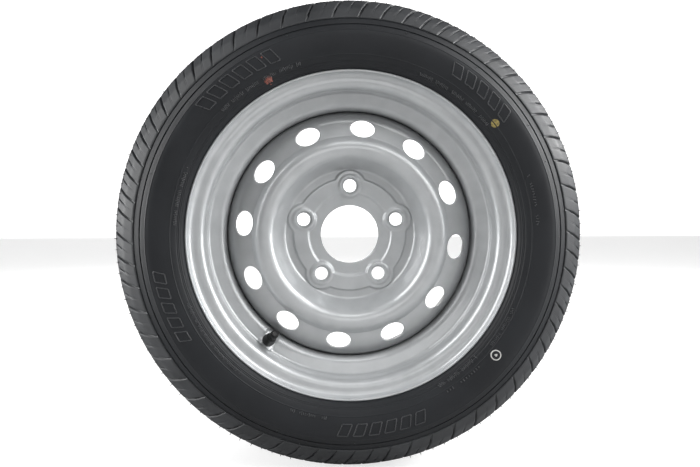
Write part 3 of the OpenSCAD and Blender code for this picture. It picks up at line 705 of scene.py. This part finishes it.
def ridges(name, r0, t0, r1, t1, width, height, rings=5):
    """Raised lines on the sidewall from (r0, t0) to (r1, t1), radius in mm and turn in degrees.
    A ridge's section is a low trapezium, square to its path in the plane (dr, r dt); its height is
    taken from the sidewall below each point, and both of its ends dip under the rubber."""
    r0, t0, r1, t1, width, height = as_floats(r0, t0, r1, t1, width, height)
    u = np.concatenate([[0, 0.04], np.linspace(0.15, 0.85, rings - 2), [0.96, 1]])
    dip = np.array([1.0] + [0.0] * rings + [1.0])
    r = r0[:, None] + (r1 - r0)[:, None] * u
    t = t0[:, None] + (t1 - t0)[:, None] * u
    dr, dt = r1 - r0, np.radians(t1 - t0) * (r0 + r1) / 2
    long = np.hypot(dr, dt)
    sr, st = (-dt / long)[:, None, None], (dr / long)[:, None, None]
    side = np.array([-0.75, -0.5, -0.32, 0.32, 0.5, 0.75])
    rise = np.array([-0.5, 0.7, 1.0, 1.0, 0.7, -0.5])
    off, tall = width[:, None, None] * side, height[:, None, None]
    lift = tall * rise - dip[:, None] * (tall * 1.1 + 0.1)
    radius = r[..., None] + off * sr
    turns = t[..., None] + np.degrees(off * st / r[..., None])
    return capped_grids(name, wheel_points(radius, turns, wall_out(radius) + lift))


def hatch(start, stop, radius, length, step, slant=0.0, height=0.6, width=0.7, seed=3):
    """Ticks from one turn to another. Their lengths and gaps follow a fixed pattern of sines."""
    t = np.arange(start, stop, step)
    k = np.arange(len(t))
    wave = np.sin(k * 2.4 + seed) * np.sin(k * 0.9 + 2 * seed)
    keep = np.sin(k * 0.55 + seed) > -0.82
    size = length * (0.72 + 0.28 * wave)
    lean = slant * np.where(np.sin(k * 1.7 + seed) > 0.3, 1, -0.4)
    low, high = radius - size / 2, radius + size / 2
    return np.stack(as_floats(low, t - lean, high, t + lean, width, height), 1)[keep]


def hollow_bars(start, stop, r_low, r_high, step, wide, lean, height=0.75):
    """Outlines of slanted bars: each one is four ridges round its corners."""
    t = np.arange(start, stop, step)
    a, b = np.full_like(t, r_low), np.full_like(t, r_high)
    low0, low1, high0, high1 = t - lean, t + wide - lean, t + lean, t + wide + lean
    sides = [(a, low0, b, high0), (b, high0, b, high1), (b, high1, a, low1), (a, low1, a, low0)]
    return np.concatenate([np.stack(as_floats(*side, 0.85, height), 1) for side in sides])


marks = np.concatenate([
    hatch(107, 136, 194.5, 5.0, 0.52, 0.15), hatch(201, 231, 191.5, 4.6, 0.50, 0.12, 0.7, seed=5),
    hatch(300, 316, 189.8, 4.8, 0.52, 0.16, seed=8), hatch(301.5, 314.5, 199.0, 3.4, 1.05, 0.0, 0.7),
    hatch(321, 336, 193.5, 4.2, 0.55, 0.15, seed=11), hatch(4, 20, 202.5, 3.6, 0.85, 0.25, 0.5, seed=2),
    hatch(40, 68, 190.5, 4.4, 0.52, 0.14, seed=6), hatch(250, 262, 199.5, 4.0, 0.6, 0.1, seed=9),
    hatch(157, 176, 192.0, 4.2, 0.55, 0.13, 0.5, seed=4),
    hollow_bars(113, 140, 204.5, 219.0, 4.6, 3.0, 0.75), hollow_bars(266, 292, 204.5, 217.5, 4.6, 3.0, -0.7),
    hollow_bars(38, 60, 205.0, 218.0, 4.6, 3.0, 0.7, 0.6),
    hollow_bars(190, 212, 205.5, 217.0, 4.6, 3.0, -0.7, 0.5)])
relief = ridges("sidewall_relief", *marks.T)
# The ridges wear the lighter rubber, a painted highlight.
finished(relief, moulded, "wheel", "tyre_rubber")

# %% [markdown]
# The tyre shop's marks are dabs of paint: a red one, a yellow one and a white ring. Each is a thin
# skin of paint on the sidewall, and it is placed by looking from the picture down to the rubber.

# %% Paint marks
RED_AT, RED_STREAK_AT = (268.8, 80.6), (261.6, 57.4)
YELLOW_AT, WHITE_AT = (495.3, 123.3), (496.0, 355.2)


def on_wall(px, py):
    """Radius and turn of a picture point on the sidewall: the sight line's depth is corrected
    a few times until it meets the rubber."""
    out = HALF_SECTION
    for _ in range(6):
        r, t = seen_at(px, py, out)
        out = wall_out(r)
    return r, t


def paint_dab(name, place, inner, outer, ragged, material):
    """A flat dab or ring between the radii `inner` and `outer` round a place in the picture, its
    edge a sum of sines."""
    r, t = on_wall(*place)
    phi = np.arange(72) * np.pi / 36
    edge = 1 + ragged * (np.sin(3 * phi + 1) + 0.6 * np.sin(7 * phi) + 0.4 * np.sin(13 * phi + 2)) / 2
    size = np.array([inner, inner, inner + 0.06, outer - 0.06, outer, outer])[:, None] * edge
    lift = np.array([-0.2, 0.08, 0.13, 0.13, 0.08, -0.2])[:, None]
    radius = r + size * np.sin(phi)
    turns = t + np.degrees(size * np.cos(phi) / radius)
    points = wheel_points(radius, turns, wall_out(radius) + lift)
    dab = closed_grid(name, points) if inner > 0.5 else capped_grids(name, points[None, 2:])
    return finished(dab, material, "wheel", "tyre_rubber")


MATT = (0.55, 0.7)
red_paint = finish_of("red_paint", (0.030, 0.016, 0.015), (0.36, 0.105, 0.075), MATT, grain=700, patch=700)
yellow_paint = finish_of("yellow_paint", (0.07, 0.055, 0.02), (0.42, 0.33, 0.09), MATT, grain=700, patch=600)
white_paint = finish_of("white_paint", (0.35, 0.35, 0.34), (0.62, 0.62, 0.60), MATT, grain=900, patch=300)
paint_dab("mark_red", RED_AT, 0.0, 4.3, 0.2, red_paint)
paint_dab("mark_red_streak", RED_STREAK_AT, 0.0, 0.9, 0.3, red_paint)
paint_dab("mark_yellow", YELLOW_AT, 0.0, 4.4, 0.06, yellow_paint)
paint_dab("mark_white_ring", WHITE_AT, 4.6, 5.8, 0.01, white_paint)
paint_dab("mark_white_middle", WHITE_AT, 0.0, 1.5, 0.3, white_paint)

# %% [markdown]
# The tread is a height taken away from a smooth crown. Along the turn, a pattern of columns is
# set at the edges of each groove and slit, so the walls come out crisp. Three pitch lengths come
# in runs, as tyre makers mix them to keep the tread quiet.

# %% Pitches
index = np.arange(PITCHES)
run_turn = np.radians(1440 * index / PITCHES + 40 * np.sin(2 * np.pi * index / PITCHES))
share = 1 + 0.165 * np.round(1.25 * np.sin(run_turn))
pitch = 360 * share / share.sum()
pitch_start = np.concatenate([[0], np.cumsum(pitch)[:-1]]) - 1.3


def crown_r(z):
    """Radius of the tread's crown: a circle of large radius that drops CROWN_DROP at the shoulder."""
    big = (HALF_TREAD ** 2 + CROWN_DROP ** 2) / (2 * CROWN_DROP)
    return TYRE_R - big + np.sqrt(big ** 2 - z ** 2)


def columns(features, plain_shares):
    """Angles and depth shares of the columns of one ring. A feature is (centre as a share of the
    pitch, half width in degrees, kind), and each one gets a wall, a floor and a wall. Plain
    columns stand at the given shares of each pitch."""
    lip, wall_w = 0.10, 0.03
    angle, kind = [], []
    for centre, half, which in features:
        middle = pitch_start + centre * pitch
        for beyond, depth in ((lip, 0), (0, 0.06), (-wall_w, 1)):
            for side in (-half - beyond, half + beyond):
                angle.append(middle + side)
                kind.append(np.full(PITCHES, depth * (which + 1.0)))
    for centre in plain_shares:
        angle.append(pitch_start + centre * pitch)
        kind.append(np.zeros(PITCHES))
    angle, kind = np.concatenate(angle), np.concatenate(kind)
    order = np.argsort(angle)
    return angle[order], kind[order]


# %% Shoulder rings
SHOULDER_SHARES, RIB_SHARES = (0.12, 0.2, 0.3, 0.4, 0.6, 0.7, 0.8, 0.88), (0.1, 0.3, 0.7, 0.9)
half_lateral = np.degrees(LATERAL_W / 2 / SHOULDER_R)
half_sipe = 0.085
shoulder_line = refined(bent([
    (*(BLOCK_FOOT + (1.4, 0.6)), 0), (SHOULDER_R - 10, HALF_TREAD + 8.6, 14),
    (SHOULDER_R, HALF_TREAD - 2.6, 8), (TYRE_R - CROWN_DROP * 0.62, HALF_TREAD * 0.75, 0)], 7.0),
    lambda r: 2.5)
face_z = np.linspace(HALF_TREAD * 0.72, 1.5 * GROOVE_SPREAD + GROOVE_W / 2 + 0.5, 4)
block_line = np.concatenate([shoulder_line, np.stack([crown_r(face_z), face_z], 1)])
block_side = across(block_line)
path = np.concatenate([[0], np.cumsum(np.linalg.norm(np.diff(block_line, axis=0), axis=1))])
groove_edge = block_line[-1]
close_under = np.array([
    groove_edge + (-0.5, -0.4), groove_edge + (-TREAD_DEPTH, -1.6), groove_edge + (-TREAD_DEPTH - 0.2, -5.0),
    (TYRE_R - 11.4, 52.0), (SHOULDER_R - 14.6, HALF_TREAD + 3), BLOCK_FOOT + (-0.6, -1.4),
    BLOCK_FOOT + (0.1, 0.2), BLOCK_FOOT + (0.7, 0.6)])
lateral_depth = 0.7 + 6.5 * smooth_step(path, 2, 22) + 0.8 * smooth_step(path, 26, 45)
sipe_depth = 3.2 * smooth_step(path, 15.5, 18.5)


def shoulder_ring(name, mirror):
    """The ring of shoulder blocks. A point is the crown's point, moved in by the groove's depth,
    and its turn leans by tan(lean) times the way it has come along the shoulder."""
    angle, kind = columns([(0.0, half_lateral, 0), (0.5, half_sipe, 1)], SHOULDER_SHARES)
    groove, slit = np.where(kind <= 1, kind, 0), np.where(kind > 1, kind / 2, 0)
    groove = np.where((kind > 0) & (kind < 0.2), 0.06, groove)
    depth = groove[:, None] * lateral_depth + slit[:, None] * sipe_depth
    line = block_line[None] - block_side[None] * depth[..., None]
    lean = np.degrees(np.tan(np.radians(24)) * (27 - path) / 250.0)
    lean = np.concatenate([lean, np.linspace(lean[-1], lean[0], len(close_under))])
    rest = np.broadcast_to(close_under, (len(angle), *close_under.shape))
    r, z = np.moveaxis(np.concatenate([line, rest], 1), -1, 0)
    return closed_grid(name, wheel_points(r, (angle[:, None] + lean) * mirror, z * mirror))


for name, mirror in (("tread_outer", 1), ("tread_inner", -1)):
    finished(shoulder_ring(name, mirror), tread_rubber, "wheel", "tyre_rubber")

# %% Middle ribs
def rib_line():
    """Section of the middle of the tread: three ribs with two grooves, and the closing line below.
    Its rows are radius, distance out, and 1 for the points on top of a rib."""
    half_top, half_floor = GROOVE_W / 2, GROOVE_W / 2 - TREAD_DEPTH * 0.14
    edge = 1.5 * GROOVE_SPREAD
    low, high = -edge - half_floor + 0.4, edge + half_floor - 0.4
    rows = [(crown_r(low) - TREAD_DEPTH, low, 0)]
    marks = [-edge + half_top, -0.5 * GROOVE_SPREAD - half_top, -0.5 * GROOVE_SPREAD + half_top,
             0.5 * GROOVE_SPREAD - half_top, 0.5 * GROOVE_SPREAD + half_top, edge - half_top]
    for a, b in zip(marks[::2], marks[1::2]):
        rows.append((crown_r(a) - TREAD_DEPTH, a - 1.1, 0))
        for z in [a, a + 0.5, *np.linspace(a + 2, b - 2, 8), b - 0.5, b]:
            rows.append((crown_r(z), z, 1) if a < z < b else (crown_r(z) - 0.5, z, 0))
        rows.append((crown_r(b) - TREAD_DEPTH, b + 1.1, 0))
    rows.append((crown_r(high) - TREAD_DEPTH, high, 0))
    return np.array(rows + [(TYRE_R - 11.2, high, 0), (TYRE_R - 10.6, 0.0, 0), (TYRE_R - 11.2, low, 0)])


line = rib_line()
angle, kind = columns([(0.0, half_sipe, 1), (0.5, half_sipe, 1)], RIB_SHARES)
slit = kind / 2
rib_share = np.abs((line[:, 1] / GROOVE_SPREAD + 0.5) % 1 - 0.5) * 2
near_groove = line[:, 2] * smooth_step(rib_share, 0.12, 0.3)
r = line[None, :, 0] - 3.5 * slit[:, None] * near_groove
t = angle[:, None] + 0.055 * line[None, :, 1]
crown = closed_grid("tread_middle", wheel_points(r, t, np.broadcast_to(line[None, :, 1], r.shape)))
finished(crown, tread_rubber, "wheel", "tyre_rubber")

# %% [markdown]
# Air leaves the mould through pin holes, and the rubber follows it: a new tyre has soft whiskers on
# its shoulder blocks and short stubs on its sidewall.

# %% Whiskers
def whiskers(name, r, t, z, lean_r, lean_z, length, width):
    """Thin round stubs that start under the rubber at (r, t, z) and stand along (lean_r, lean_z),
    a little narrower towards the tip."""
    r, t, z, lean_r, lean_z, length = as_floats(r, t, z, lean_r, lean_z, length)
    u, taper = np.array([-0.6, 0.1, 0.75, 1.0]), np.array([1.0, 1.0, 0.8, 0.45])
    a = np.arange(6) * np.pi / 3
    along = u * length[:, None]
    cross_r, cross_z = -lean_z[:, None, None], lean_r[:, None, None]
    ring = width / 2 * taper[:, None]
    radius = (r[:, None] + along * lean_r[:, None])[..., None] + ring * np.cos(a) * cross_r
    out = (z[:, None] + along * lean_z[:, None])[..., None] + ring * np.cos(a) * cross_z
    turns = t[:, None, None] + np.degrees(ring * np.sin(a) / radius)
    return capped_grids(name, wheel_points(radius, turns, out))


FLOOR_CLEAR, STUB_L, STUB_W, STUB_R, EDGE_STUB_R = 14.0, 1.1, 0.9, 226.0, 233.5
shoulder_t = np.concatenate([pitch_start + 0.27 * pitch, pitch_start + 0.74 * pitch]) % 360
shoulder_t = shoulder_t[np.abs((shoulder_t + 90 + 180) % 360 - 180) > FLOOR_CLEAR]
wobble = 0.5 + 0.5 * np.sin(np.arange(len(shoulder_t)) * 1.9)
side_t = np.arange(20) * 18.0 + 4 * np.sin(np.arange(20) * 2.1)
counts = [len(shoulder_t), len(side_t), len(side_t)]
stub_r = np.repeat([SHOULDER_R - 0.9, STUB_R, EDGE_STUB_R], counts)
stub_z = np.repeat([HALF_TREAD - 0.4, wall_out(STUB_R), BLOCK_FOOT[1] + 0.6], counts)
stub_t = np.concatenate([shoulder_t, side_t, side_t + 7])
lean_r = np.repeat([0.93, 0.25, 0.5], counts)
length = np.concatenate([1.2 + 1.3 * wobble, np.full(2 * len(side_t), STUB_L)])
stub_lean = np.sqrt(1 - lean_r ** 2)
for name, mirror in (("whiskers_outer", 1), ("whiskers_inner", -1)):
    stubs = whiskers(
        name, stub_r, stub_t * mirror, stub_z * mirror, lean_r, stub_lean * mirror, length, STUB_W)
    finished(stubs, stub_rubber_painted_highlight, "wheel", "tyre_rubber")

# %% [markdown]
# Four arc welds hold the disc's flange in the well. A bead is laid in small overlapping ripples,
# RIPPLE_L mm long, and tapers at both ends.

# %% Weld beads
WELD_LEG, WELD_SWEEP, WELD_STEPS, RIPPLE_L, TAPER_L, SUNK = 4.0, 52.0, 260, 2.1, 4.0, 0.05
bead_turn = np.linspace(0, WELD_SWEEP, WELD_STEPS)
bead_mm = np.radians(bead_turn) * WELL_BORE_R
ripple = 1 + 0.05 * np.abs(np.sin(np.pi * bead_mm / RIPPLE_L)) + 0.03 * np.sin(bead_mm * 0.7)
ends = np.sqrt(np.clip(1 - (1 - np.minimum(bead_mm, bead_mm[::-1]) / TAPER_L).clip(0) ** 2, 0.02, 1))
quarter = np.radians(np.linspace(180, 270, 9))
bead_size = (WELD_LEG * ripple * ends)[:, None] * (1 - 0.10 * np.sin(2 * (quarter - np.pi)))
corner = np.full((WELD_STEPS, 1), SUNK)
bead_r = WELL_BORE_R + np.concatenate([bead_size * np.cos(quarter), corner], 1)
bead_z = DISC_END + np.concatenate([bead_size * np.sin(quarter), corner], 1)
for k in range(4):
    bead_t = (45 + 90 * k - WELD_SWEEP / 2 + bead_turn)[:, None]
    weld_bead = capped_grids(f"weld_bead_{k + 1}", wheel_points(bead_r, bead_t, bead_z)[None])
    finished(weld_bead, silver_paint, "wheel", "silver_paint", f"weld_{k + 1}")

# %% [markdown]
# The valve cap is moulded with ribs for the fingers and a shallow ring in its end. It is hollow,
# like the solid that it stands for, and it turns and lifts with the cap.

# %% Valve cap
CAP_START, CAP_L, CAP_BORE_R, CAP_RIBS, RIB_DEPTH = 15.5, 9.6, 4.0, 22, 0.34
cap_line = np.array([
    (3.7, 8.8, 0), (CAP_BORE_R, 8.6, 0), (CAP_BORE_R, 0.2, 0), (4.2, 0.0, 0), (4.45, 0.0, 0),
    (4.72, 0.25, 0), (4.86, 0.8, 0), (4.88, 1.25, 0), (4.86, 1.7, 1), (4.82, 3.0, 1), (4.76, 5.0, 1),
    (4.70, 6.8, 1), (4.62, 8.0, 0.8), (4.45, 8.8, 0.35), (4.15, 9.3, 0.1), (3.7, 9.55, 0),
    (3.3, CAP_L, 0), (2.9, CAP_L, 0), (2.65, 9.4, 0), (2.4, 9.33, 0), (1.2, 9.36, 0), (0.5, 9.36, 0)])
rib = np.tile([0.0, 0.1, 0.75, 1.0, 0.75, 0.1], CAP_RIBS)
cap_radius = cap_line[:, :1] - RIB_DEPTH * cap_line[:, 2:] * rib
cap_piece = capped_grids("ribbed_cap", valve_rings(cap_radius, CAP_START + cap_line[:, 1], len(rib)))
finished(cap_piece, cap_plastic, "cap", "black_plastic", "valve_cap")

# %% [markdown]
# The spring in the valve's core is a round wire on a helix, with the radius and the climb of the
# solid that it stands for. It stands on the barrel's floor.

# %% Core spring
SPRING_START, SPRING_L, PIN_TRAVEL = RIM_T / 2 + 8.62, 6.06, 1.5
SPRING_R, WIRE_R, COILS, COIL_STEPS = 1.075, 0.17, 7, 24
coil_turn = np.linspace(0, 2 * np.pi * COILS, COIL_STEPS * COILS + 1)
round_wire = np.arange(8) * np.pi / 4
coil_r = SPRING_R + WIRE_R * np.cos(round_wire)
climb = np.linspace(WIRE_R, SPRING_L - WIRE_R, len(coil_turn))[:, None]
coil_z = SPRING_START + climb + WIRE_R * np.sin(round_wire)
coil_points = coil_r[:, None] * round_valve(coil_turn)[:, None] + coil_z[:, :, None] * valve_axis
core_spring = capped_grids("core_spring", (valve_origin + coil_points)[None] * MM)
finished(core_spring, steel, "wheel", "spring_steel", "valve_core_spring")
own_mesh(core_spring)

# %% [markdown]
# The valve's other solids already have the right shape. They get their finishes by name.

# %% Finishes of the solids
for material, nodes in (
        (brass, ("stem", "core_plug", "core_barrel", "core_pin", "core_cup")),
        (valve_rubber, ("body", "core_seal", "cap_seal")), (white_seal, ("core_gasket",))):
    for node in nodes:
        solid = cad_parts["valve_" + node]
        solid.data.materials.clear()
        solid.data.materials.append(material)

# %% [markdown]
# The studio: a pale floor under the tyre, a white wall behind, and groups of soft lights round
# the wheel. A wheel like this is all reflections, so the lights are large and stand on all sides.

# %% Studio
def camera_glow(tree, strength, seen, lit):
    """Sets a strength to `seen` for the camera's own rays and to `lit` for all others."""
    ray = add_node(tree, "LightPath").outputs["Is Camera Ray"]
    glow = add_node(tree, "MapRange", {"Value": ray, "To Min": lit, "To Max": seen})
    tree.links.new(glow.outputs["Result"], strength)


def stage_sheet(name, first, last, tone, seen, lit):
    """A flat pale sheet of the stage between two rows (Y, Z). It glows with `lit` for the wheel and
    with `seen` for the camera, so that the floor stays pale without lighting the wheel from below."""
    corners = [(-SHEET_SIDE, *first), (SHEET_SIDE, *first), (SHEET_SIDE, *last), (-SHEET_SIDE, *last)]
    mesh = bpy.data.meshes.new(name)
    mesh.from_pydata(corners, [], [(0, 1, 2, 3)])
    sheet = placed(name, mesh)
    material, tree, shader = new_material(name)
    white = (1, 1, 1, 1)
    fill(tree, shader, {"Base Color": (tone, tone, tone, 1), "Roughness": 0.9, "Emission Color": white})
    camera_glow(tree, shader.inputs["Emission Strength"], seen, lit)
    mesh.materials.append(material)


floor_z = cad_box[0][2]
SHEET_SIDE, NEAR, FAR, TOP = 4.0, -3.0, 4.0, 3.5
stage_sheet("floor", (NEAR, floor_z), (FAR, floor_z), 0.42, 0.72, 0.0)
stage_sheet("backdrop", (FAR, floor_z), (FAR, TOP), 0.85, 1.2, 0.1)


def soft_light(name, place, power):
    """A square soft light at `place` that looks at the wheel's centre."""
    light = bpy.data.lights.new(name, "AREA")
    light.size, light.energy = LIGHT_SIZE, power
    holder = placed(name, light)
    holder.location = place
    holder.rotation_euler = (-Vector(place)).to_track_quat("-Z", "Y").to_euler()


# Groups of equal soft lights round the wheel: the angle from the line of sight, the angles round
# it (0 right, 90 up), and the power of each in watts. Wings graze the wheel from its two sides,
# arches light the steps of rim and disc, and the back pair is for views from behind.
LIGHT_FAR, LIGHT_SIZE = 2.2, 0.75
LIGHT_GROUPS = {
    "right_wing": (92, (25,), 50), "left_wing": (92, (175,), 35),
    "right_arch": (72, (5, 25, 45), 15), "left_arch": (72, (135, 155, 175), 12),
    "canopy": (52, (30, 60, 90), 5), "front": (12, (90,), 4), "back": (148, (55, 125), 12)}
for group, (slant_deg, places, power) in LIGHT_GROUPS.items():
    slant = np.radians(slant_deg)
    for round_it in np.radians(places):
        place = LIGHT_FAR * np.array([
            np.sin(slant) * np.cos(round_it), -np.cos(slant), np.sin(slant) * np.sin(round_it)])
        soft_light(group, place, power)

world = bpy.data.worlds.new("studio_air")
world.use_nodes = True
air = world.node_tree.nodes["Background"]
air.inputs["Color"].default_value = (0.80, 0.81, 0.82, 1)
camera_glow(world.node_tree, air.inputs["Strength"], seen=0.95, lit=0.05)
bpy.context.scene.world = world
bpy.context.scene.view_settings.view_transform = "Standard"
